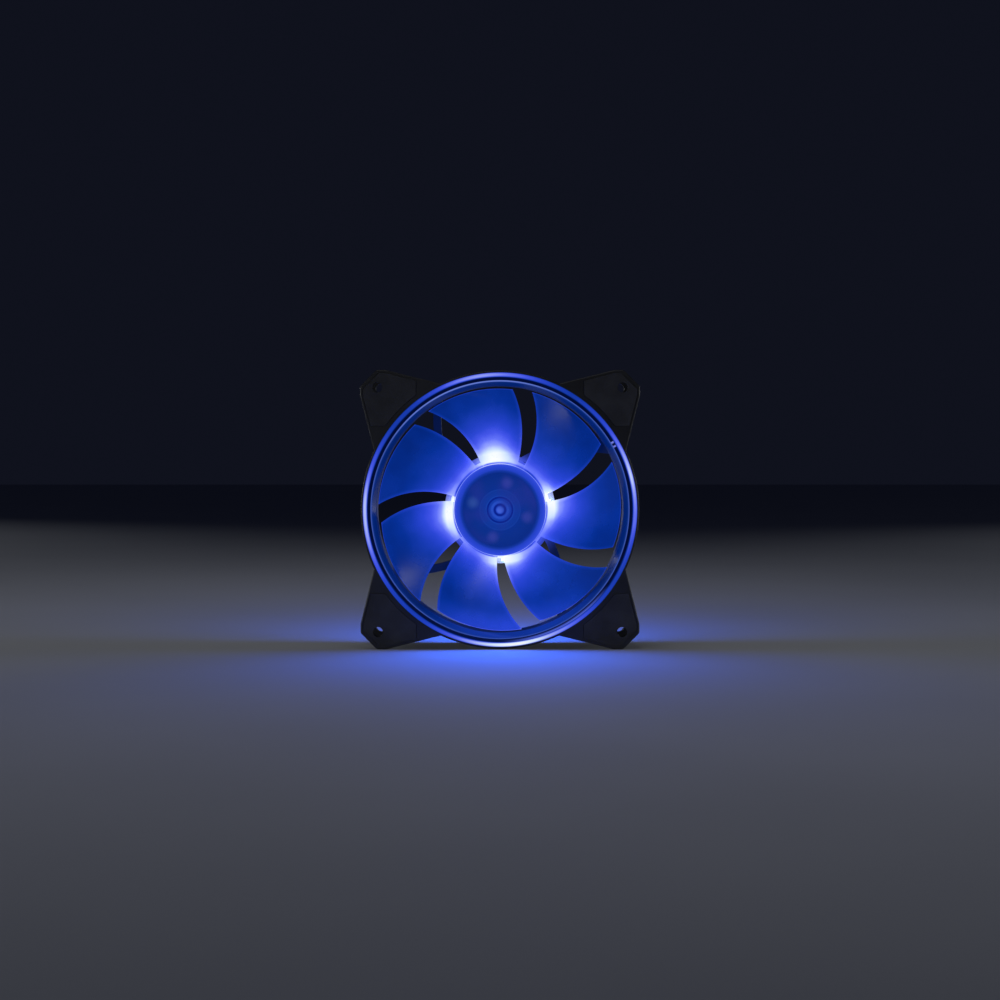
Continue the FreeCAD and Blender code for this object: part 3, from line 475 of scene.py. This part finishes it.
# Where the bead is brighter than the LEDs alone make it: the arc, and by how much.
BRIGHT_ARCS = [((278, 65), 0.22), ((170, 30), 0.12), ((32, 28), 0.19)]

# The ring inside its bead, from 0 at the throat to 1 at the bead: the dim inlet, the bright
# ridge, which is a painted highlight, and the dark groove.
SECTION_RADIUS = (53.0, 57.0)
SECTION = [
    (0.00, linear(0, 30, 100)), (0.20, linear(0, 28, 94)), (0.40, linear(2, 30, 98)),
    (0.50, linear(8, 42, 112)), (0.545, linear(30, 58, 140)), (0.60, linear(62, 88, 176)),
    (0.65, linear(72, 98, 190)), (0.68, linear(6, 22, 84)), (0.75, linear(0, 9, 46)),
    (0.94, linear(0, 9, 50)), (1.00, linear(2, 14, 72)),
]
SECTION_TO_BEAD = (56.95, 57.1)

# The ridge's painted highlight is brightest at the top.
RIDGE = (55.0, 55.2, 55.6, 55.7)
RIDGE_HIGHLIGHT_ARC = (106, 50)
RIDGE_HIGHLIGHT_SHARE = 0.7

# The locating key lies across the groove and shows as its two lit ends.
GROOVE = (55.6, 55.8, 56.7, 57.0)
KEY_ENDS = (0.35, 0.8, 1.25, 1.4)

# The bead lights the groove beside it at the lower right, and the table lights the lowest part of
# the inlet.
BESIDE_BEAD = (56.1, 56.7)
BESIDE_BEAD_ARC = (298, 28)
BESIDE_BEAD_SHARE = 0.75
INLET = (56.0, 54.6)
INLET_ARC = (278, 48)
INLET_SHARE = 0.8


def bead_glow(shader, radius, angle, patches):
    """How brightly the bead is lit: most by the LEDs, and a little unevenly."""
    glow = shader.lift(BEAD_GLOW, BEAD_LED_GLOW, led_lobes(shader, angle, sharpness=1.1))
    for arc, amount in BRIGHT_ARCS:
        glow = shader.lift(glow, amount, shader.toward(angle, *arc))
    glow = shader.lift(glow, BEAD_PATCHES, shader.span(patches, 0.35, 0.65, -0.5, 0.5))
    return shader.product(glow, shader.ramp(shader.span(radius, *BEAD_RADIUS), BEAD))


def ring_section(shader, radius, angle):
    """The lit ring inside its bead, with a painted highlight along its ridge."""
    section = shader.ramp(shader.span(radius, *SECTION_RADIUS), SECTION)
    # The ridge's bright line is a painted highlight.
    ridge = shader.product(shader.band(radius, *RIDGE), shader.toward(angle, *RIDGE_HIGHLIGHT_ARC))
    ridge = shader.product(ridge, RIDGE_HIGHLIGHT_SHARE)
    section = shader.mix(ridge, section, linear(116, 140, 230))
    away = shader.maths("ABSOLUTE", shader.maths("SUBTRACT", angle, math.radians(LOCATING_KEY)))
    ends = shader.band(shader.product(away, LOCATING_KEY_CIRCLE), *KEY_ENDS)
    key = shader.product(ends, shader.band(radius, *GROOVE))
    section = shader.mix(key, section, linear(116, 128, 226))
    beside = shader.product(shader.span(radius, *BESIDE_BEAD), BESIDE_BEAD_SHARE)
    beside = shader.product(beside, shader.toward(angle, *BESIDE_BEAD_ARC))
    section = shader.mix(beside, section, linear(86, 106, 220))
    inlet = shader.product(shader.span(radius, *INLET), INLET_SHARE)
    inlet = shader.product(inlet, shader.toward(angle, *INLET_ARC))
    return shader.mix(inlet, section, linear(16, 52, 158))


def ring_plastic():
    """The clear ring: light runs round inside it to its bead, and a painted highlight lies on its
    ridge.
    """
    shader = Shader("ring_plastic")
    place = shader.place()
    radius = shader.radius(place)
    angle = shader.angle(place)
    patches = shader.noise(place, 34, detail=2, roughness=0.5)
    on_bead = shader.span(radius, *SECTION_TO_BEAD)
    bead = shader.ramp(bead_glow(shader, radius, angle, patches), LIT)
    shader.set(
        Base_Color=linear(3, 8, 28),
        Roughness=shader.span(patches, 0.3, 0.7, 0.24, 0.32),
        IOR=1.49,
        Specular_IOR_Level=0.22,
        Transmission_Weight=0.15,
        Emission_Color=shader.mix(on_bead, ring_section(shader, radius, angle), bead),
        Emission_Strength=LIT_STRENGTH,
        Coat_Weight=0.06,
        Coat_Roughness=0.15,
    )
    return shader.material


# --- black frame and rubber pads --------------------------------------------------------------

# Dim light inside the duct and on the struts, but not on their rear faces. It grows outwards.
DUCT_RADIUS = (56.0, 55.4)
DUCT_DEPTH = (10.5, 7.5)
OUTWARD = (16.0, 50.0)

# Brighter light on the motor base, close to the LEDs.
BASE_OUTSIDE = (31.0, 21.0)
BASE_INSIDE = (17.6, 18.4)
BASE_DEPTH = (12.0, 10.5)


def moulded_black():
    """Matt black plastic from a spark-eroded mould, a little polished along its edges, which are
    painted lighter as wear and as a painted highlight.
    """
    shader = Shader("moulded_black")
    place = shader.place()
    radius = shader.radius(place)
    depth = shader.depth(place)
    grain = shader.noise(place, 2600, detail=2, roughness=0.6)
    flow = shader.noise(place, 55, detail=3, roughness=0.55)
    dust = shader.span(shader.noise(place, 900, detail=4, roughness=0.7), 0.63, 0.8)
    edge, rounded = shader.rounded_edges(radius=0.35 * MM)
    # The edges are painted lighter, partly as wear and partly as a painted highlight, and are a
    # little less rough.
    edge_wear_and_highlight = shader.product(edge, shader.span(flow, 0.3, 0.7, 0.3, 0.8))
    black = shader.mix(shader.span(flow, 0.3, 0.7), linear(19, 20, 23), linear(29, 30, 34))
    black = shader.mix(shader.product(dust, 0.25), black, linear(92, 94, 100))
    duct = shader.product(
        shader.span(radius, *DUCT_RADIUS),
        shader.span(radius, *OUTWARD, to_low=0.6, to_high=1.0),
        shader.span(depth, *DUCT_DEPTH),
    )
    base = shader.product(
        shader.span(radius, *BASE_OUTSIDE, smooth=True),
        shader.span(radius, *BASE_INSIDE),
        shader.span(depth, *BASE_DEPTH),
    )
    shader.set(
        Emission_Color=shader.mix(base, linear(1, 20, 74), base_glow(shader, place)),
        Emission_Strength=shader.maths("MAXIMUM", duct, base),
        Base_Color=shader.mix(edge_wear_and_highlight, black, linear(62, 63, 68)),
        Roughness=shader.lift(shader.span(flow, 0.25, 0.75, 0.42, 0.56), -0.12, edge_wear_and_highlight),
        Specular_IOR_Level=0.5,
        Normal=shader.bump(grain, strength=0.28, distance=0.2 * MM, normal=rounded),
    )
    return shader.material


def pad_rubber():
    """Soft black rubber with a chalky bloom."""
    shader = Shader("pad_rubber")
    place = shader.place()
    grain = shader.noise(place, 1500, detail=3, roughness=0.6)
    bloom = shader.noise(place, 140, detail=4, roughness=0.6)
    _, rounded = shader.rounded_edges(radius=0.3 * MM)
    bloomed = shader.span(bloom, 0.35, 0.75)
    shader.set(
        Base_Color=shader.mix(bloomed, linear(33, 34, 37), linear(56, 57, 61)),
        Roughness=shader.span(bloom, 0.3, 0.7, 0.78, 0.9),
        Normal=shader.bump(grain, strength=0.35, distance=0.2 * MM, normal=rounded),
    )
    return shader.material


# --- metals, small mouldings and electronics --------------------------------------------------

# How fine the rings on turned metal are, and the distance from one steel sheet, turn of wire or
# copper track to the next.
RINGS_PER_MM = 18.0
SHEET_STEP = 0.5
WIRE_STEP = 0.26
TRACK_STEP = 2.2

# The edge of the circuit board, out by the LEDs.
BOARD_EDGE = (18.0, 20.0)

# The two plain rings printed on the rear label.
LABEL_BORDER = (17.7, 17.8, 18.3, 18.4)
LABEL_CENTRE = (4.2, 4.3, 4.6, 4.7)


def turned_metal(name, colour, roughness):
    """Metal turned or drawn about the spin axis: fine rings and a few smudges."""
    shader = Shader(name)
    place = shader.place()
    # The pattern changes both across the flat faces and along the round walls.
    across_rings = shader.lift(shader.radius(place), 0.9, shader.depth(place))
    rings = shader.node("ShaderNodeTexNoise", noise_dimensions="1D")
    shader.feed(rings.inputs["W"], across_rings)
    rings.inputs["Scale"].default_value = RINGS_PER_MM
    smudge = shader.noise(place, 180, detail=3, roughness=0.5)
    smudged = tuple(channel * 0.72 for channel in colour[:3]) + (1.0,)
    shader.set(
        Base_Color=shader.mix(shader.span(smudge, 0.35, 0.7), colour, smudged),
        Metallic=1.0,
        Roughness=shader.span(smudge, 0.3, 0.7, roughness, roughness + 0.16),
        Normal=shader.bump(rings.outputs["Fac"], strength=0.12, distance=0.1 * MM),
    )
    return shader.material


def plain_plastic(name, dark, light, roughness):
    """A small moulded or sintered part."""
    shader = Shader(name)
    place = shader.place()
    cloud = shader.noise(place, 220, detail=3, roughness=0.55)
    grain = shader.noise(place, 1400, detail=2, roughness=0.6)
    shader.set(
        Base_Color=shader.mix(shader.span(cloud, 0.3, 0.7), dark, light),
        Roughness=shader.span(cloud, 0.3, 0.7, roughness - 0.06, roughness + 0.06),
        Normal=shader.bump(grain, strength=0.2, distance=0.1 * MM),
    )
    return shader.material


def laminated_steel():
    """Thin steel sheets stacked along the spin axis."""
    shader = Shader("laminated_steel")
    place = shader.place()
    off_seam = shader.span(shader.fold(shader.depth(place), SHEET_STEP), 0.0, 0.12)
    rust = shader.noise(place, 300, detail=4, roughness=0.6)
    steel = shader.mix(shader.span(rust, 0.4, 0.75), linear(118, 116, 114), linear(84, 74, 66))
    shader.set(
        Base_Color=shader.mix(off_seam, linear(40, 38, 36), steel),
        Metallic=0.9,
        Roughness=0.42,
        Normal=shader.bump(off_seam, strength=0.5, distance=0.1 * MM),
    )
    return shader.material


def wound_wire():
    """Enamelled copper wire laid in close turns, painted darker between the turns as painted
    shade.
    """
    shader = Shader("wound_wire")
    place = shader.place()
    turn = shader.fold(shader.radius(place), WIRE_STEP)
    crown = shader.maths("SQRT", shader.span(turn, 0.0, 0.5))
    tone = shader.span(shader.noise(place, 500, detail=2, roughness=0.5), 0.3, 0.7)
    copper = shader.mix(tone, linear(196, 98, 44), linear(224, 128, 66))
    shader.set(
        # The copper is painted dark between the turns: painted shade in the creases.
        Base_Color=shader.mix(crown, linear(70, 26, 10), copper),
        Metallic=0.85,
        Roughness=0.28,
        Normal=shader.bump(crown, strength=0.8, distance=0.2 * MM),
    )
    return shader.material


def board_resist():
    """Dark solder resist over broken rings of copper track. The board's edge is lit."""
    shader = Shader("board_resist")
    place = shader.place()
    radius = shader.radius(place)
    unbroken = shader.span(shader.noise(place, 240, detail=1, roughness=0.4), 0.45, 0.47)
    track = shader.product(shader.span(shader.fold(radius, TRACK_STEP), 0.26, 0.30), unbroken)
    weave = shader.noise(place, 900, detail=2, roughness=0.5)
    resist = shader.mix(track, linear(13, 15, 20), linear(28, 32, 42))
    shader.set(
        Emission_Color=base_glow(shader, place),
        Emission_Strength=shader.span(radius, *BOARD_EDGE),
        Base_Color=shader.mix(shader.span(weave, 0.3, 0.8, 0.0, 0.3), resist, linear(8, 9, 12)),
        Roughness=0.34,
        Coat_Weight=0.2,
        Normal=shader.bump(track, strength=0.4, distance=0.1 * MM),
    )
    return shader.material


def tinned_part():
    """The dull tinned skin of a small component."""
    shader = Shader("tinned_part")
    tone = shader.span(shader.noise(shader.place(), 700, detail=2, roughness=0.5), 0.4, 0.6)
    shader.set(
        Base_Color=shader.mix(tone, linear(150, 146, 138), linear(196, 194, 190)),
        Metallic=0.7,
        Roughness=0.35,
    )
    return shader.material


def led_package():
    """The LED's white body, lit through by its own light."""
    shader = Shader("led_package")
    tone = shader.noise(shader.place(), 600, detail=2, roughness=0.5)
    shader.set(
        Base_Color=shader.mix(tone, linear(226, 230, 236), linear(246, 248, 250)),
        Roughness=0.4,
        Emission_Color=linear(150, 176, 255),
        Emission_Strength=shader.span(tone, 0.3, 0.7, 0.8, 1.1),
    )
    return shader.material


def led_gel():
    """The gel over an LED's chip: the brightest thing on the fan."""
    shader = Shader("led_gel")
    tone = shader.noise(shader.place(), 900, detail=2, roughness=0.5)
    shader.set(
        Base_Color=linear(236, 240, 255),
        Roughness=0.2,
        Emission_Color=shader.mix(tone, linear(214, 228, 255), linear(246, 250, 255)),
        Emission_Strength=14.0,
    )
    return shader.material


def label_film():
    """Satin film with a faint brushed grain and two plain printed rings."""
    shader = Shader("label_film")
    place = shader.place()
    radius = shader.radius(place)
    brushed = shader.noise(shader.scaled(place, (6.0, 1.0, 0.3)), 1400, detail=2, roughness=0.6)
    border = shader.band(radius, *LABEL_BORDER)
    centre = shader.band(radius, *LABEL_CENTRE)
    printed = shader.maths("ADD", border, centre, clamp=True)
    shader.set(
        Base_Color=shader.mix(printed, linear(30, 31, 34), linear(150, 153, 160)),
        Roughness=shader.span(brushed, 0.3, 0.7, 0.46, 0.58),
        Metallic=0.2,
        Normal=shader.bump(brushed, strength=0.08, distance=0.1 * MM),
    )
    return shader.material


def dress_frame():
    """Gives every CAD node its material."""
    rubber = pad_rubber()
    brass = turned_metal("turned_brass", linear(214, 176, 98), 0.24)
    bronze = plain_plastic("sintered_bronze", linear(120, 82, 48), linear(156, 110, 66), 0.5)
    steel = turned_metal("ground_steel", linear(196, 198, 202), 0.2)
    nylon = plain_plastic("natural_nylon", linear(214, 208, 192), linear(232, 228, 216), 0.5)
    chip = plain_plastic("moulded_chip", linear(20, 20, 21), linear(30, 30, 32), 0.55)
    tinned = tinned_part()
    package = led_package()
    copper = wound_wire()
    materials = {
        "frame": moulded_black(),
        "light_ring": ring_plastic(),
        "impeller": blade_plastic(),
        "rotor_cup": turned_metal("plated_steel", linear(150, 152, 158), 0.3),
        "magnet_ring": plain_plastic("ferrite", linear(40, 40, 42), linear(54, 54, 56), 0.6),
        "shaft_insert": brass,
        "shaft": steel,
        "retaining_clip": nylon,
        "bearing_tube": brass,
        "bearing_sleeve": bronze,
        "oil_seal": rubber,
        "thrust_plate": nylon,
        "stator_core": laminated_steel(),
        "insulator_front": nylon,
        "insulator_rear": nylon,
        "circuit_board": board_resist(),
        "hall_sensor": chip,
        "driver_chip": chip,
        "capacitor": tinned,
        "resistor_1": tinned,
        "resistor_2": tinned,
        "rear_label": label_film(),
    }
    for number in range(1, 5):
        materials[f"coil_{number}"] = copper
        materials[f"led_{number}"] = package
        materials[f"front_pad_{number}"] = rubber
        materials[f"rear_pad_{number}"] = rubber
    for node, material in materials.items():
        slots = frame["nodes"][node].data.materials
        slots.clear()
        slots.append(material)


# --- pieces that the CAD leaves out -----------------------------------------------------------

# The gel is a flattened ball whose middle is a little below the front of its LED.
GEL_RADIUS = 1.1 * MM
GEL_FLATNESS = 0.5
GEL_SINK = 0.5 * MM


def new_piece(name, mesh, material, body):
    """Adds a piece that rides on a CAD body."""
    piece = bpy.data.objects.new(name, mesh)
    bpy.context.scene.collection.objects.link(piece)
    mesh.materials.append(material)
    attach(piece, body)


def add_led_gels():
    """The domed gel in each LED's round window."""
    gel = led_gel()
    for number in range(1, LED_COUNT + 1):
        low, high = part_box(f"led_{number}")
        middle = (low + high) / 2
        form = bmesh.new()
        window = (middle.x, low.y + GEL_SINK, middle.z)
        bmesh.ops.create_uvsphere(form, u_segments=24, v_segments=12, radius=GEL_RADIUS)
        bmesh.ops.scale(form, vec=(1.0, GEL_FLATNESS, 1.0), verts=form.verts)
        bmesh.ops.translate(form, vec=window, verts=form.verts)
        mesh = bpy.data.meshes.new(f"led_gel_{number}")
        form.to_mesh(mesh)
        form.free()
        mesh.polygons.foreach_set("use_smooth", [True] * len(mesh.polygons))
        new_piece(f"led_gel_{number}", mesh, gel, "housing")


# --- stage ------------------------------------------------------------------------------------

# Lengths are in metres from here on.
FLOOR_SIZE = 3.0
COOL_WHITE = (0.93, 0.96, 1.0)
FAN_BLUE = (0.02, 0.12, 1.0)
LED_BLUE = (0.16, 0.30, 1.0)
NIGHT_BLUE = (0.005, 0.006, 0.012, 1.0)

# The soft boxes: name, place, size, power and colour. They face the part, and all but the top one
# are low and far out, so that they light the part more than the floor.
SOFT_BOX_SPREAD = math.radians(50)
SOFT_BOXES = [
    ("soft_top", (-0.10, -0.10, 0.85), (0.9, 0.7), 0.15, (1.0, 1.0, 1.0)),
    ("soft_left", (-0.95, -1.00, 0.12), (0.8, 0.28), 0.22, COOL_WHITE),
    ("soft_right", (1.05, -0.90, 0.12), (0.8, 0.28), 0.18, COOL_WHITE),
    ("soft_rear_left", (-1.15, 1.25, 0.14), (0.8, 0.3), 0.30, COOL_WHITE),
    ("soft_rear_right", (1.25, 1.15, 0.14), (0.8, 0.3), 0.33, COOL_WHITE),
    ("soft_side_left", (-1.60, 0.05, 0.16), (0.8, 0.3), 0.20, COOL_WHITE),
    ("soft_side_right", (1.60, 0.05, 0.16), (0.8, 0.3), 0.20, COOL_WHITE),
]

# An LED's own light, beside its window.
LED_POWER = 0.03
LED_LIGHT_SIZE = 0.8 * MM
LED_LIGHT_OFFSET = 1.5 * MM

# The lit disc as a light on the table, before and behind it: name, place, facing and power.
DISC_SIZE = 0.10
DISC_LIGHTS = [
    ("fan_front", (0, -0.0135, -0.006), (0, -1, 0), 0.17),
    ("fan_rear", (0, 0.0135, -0.006), (0, 1, 0), 0.24),
]

# The camera: its lens and the width of its sensor in millimetres, and then its distance from the
# part's front, its height above the axis and the height that it looks at.
LENS = 68.0
SENSOR_WIDTH = 36.0
CAMERA_DISTANCE = 0.81
CAMERA_HEIGHT = 0.030
TARGET_HEIGHT = 0.0039


def add_floor(height):
    """A plain pale floor with a barely visible cloudiness."""
    shader = Shader("pale_floor")
    cloud = shader.noise(shader.place(), 9, detail=3, roughness=0.5)
    shader.set(
        Base_Color=shader.mix(cloud, linear(186, 188, 194), linear(196, 198, 203)),
        Roughness=shader.span(cloud, 0.3, 0.7, 0.70, 0.72),
        Specular_IOR_Level=0.25,
    )
    form = bmesh.new()
    bmesh.ops.create_grid(form, x_segments=1, y_segments=1, size=FLOOR_SIZE)
    mesh = bpy.data.meshes.new("floor")
    form.to_mesh(mesh)
    form.free()
    mesh.materials.append(shader.material)
    floor = bpy.data.objects.new("floor", mesh)
    floor.location = (0, 0, height)
    bpy.context.scene.collection.objects.link(floor)


def turn_to(thing, direction):
    """Turns a light or a camera to look in a direction."""
    thing.rotation_euler = Vector(direction).to_track_quat("-Z", "Y").to_euler()


def add_light(name, kind, place, power, colour):
    """A light that the camera doesn't see."""
    data = bpy.data.lights.new(name, kind)
    data.energy = power
    data.color = colour
    light = bpy.data.objects.new(name, data)
    light.location = place
    light.visible_camera = False
    bpy.context.scene.collection.objects.link(light)
    return light


def hide_reflection(light):
    """Keeps a light out of glossy and clear surfaces."""
    light.visible_glossy = False
    light.visible_transmission = False


def add_soft_boxes():
    """Dim soft boxes that face the part."""
    for name, place, (width, height), power, colour in SOFT_BOXES:
        light = add_light(name, "AREA", place, power, colour)
        light.data.shape = "RECTANGLE"
        light.data.size = width
        light.data.size_y = height
        light.data.spread = SOFT_BOX_SPREAD
        turn_to(light, -light.location)


def add_disc_lights():
    """The blue light that the lit disc throws on the table."""
    for name, place, direction, power in DISC_LIGHTS:
        light = add_light(name, "AREA", place, power, FAN_BLUE)
        light.data.shape = "DISK"
        light.data.size = DISC_SIZE
        turn_to(light, direction)
        hide_reflection(light)


def add_led_lights():
    """Each LED also lights the parts round it."""
    for number in range(1, LED_COUNT + 1):
        low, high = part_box(f"led_{number}")
        middle = (low + high) / 2
        outward = Vector((middle.x, 0, middle.z)).normalized()
        place = Vector((middle.x, low.y, middle.z)) + outward * LED_LIGHT_OFFSET
        light = add_light(f"led_light_{number}", "POINT", place, LED_POWER, LED_BLUE)
        light.data.shadow_soft_size = LED_LIGHT_SIZE
        hide_reflection(light)


def add_world():
    """A nearly black room."""
    world = bpy.data.worlds.new("studio")
    world.use_nodes = True
    background = world.node_tree.nodes["Background"]
    background.inputs["Color"].default_value = NIGHT_BLUE
    background.inputs["Strength"].default_value = 1.0
    bpy.context.scene.world = world


def add_camera(front):
    """Straight on, a little above the axis, as a short telephoto lens sees it."""
    data = bpy.data.cameras.new("camera")
    data.lens = LENS
    data.sensor_width = SENSOR_WIDTH
    camera = bpy.data.objects.new("camera", data)
    camera.location = (0, front - CAMERA_DISTANCE, CAMERA_HEIGHT)
    turn_to(camera, Vector((0, 0, TARGET_HEIGHT)) - camera.location)
    bpy.context.scene.collection.objects.link(camera)
    bpy.context.scene.camera = camera


low_corner = cad_box[0]
dress_frame()
add_led_gels()
add_floor(low_corner[2])
add_soft_boxes()
add_disc_lights()
add_led_lights()
add_world()
add_camera(low_corner[1])
bpy.context.scene.view_settings.view_transform = "Standard"
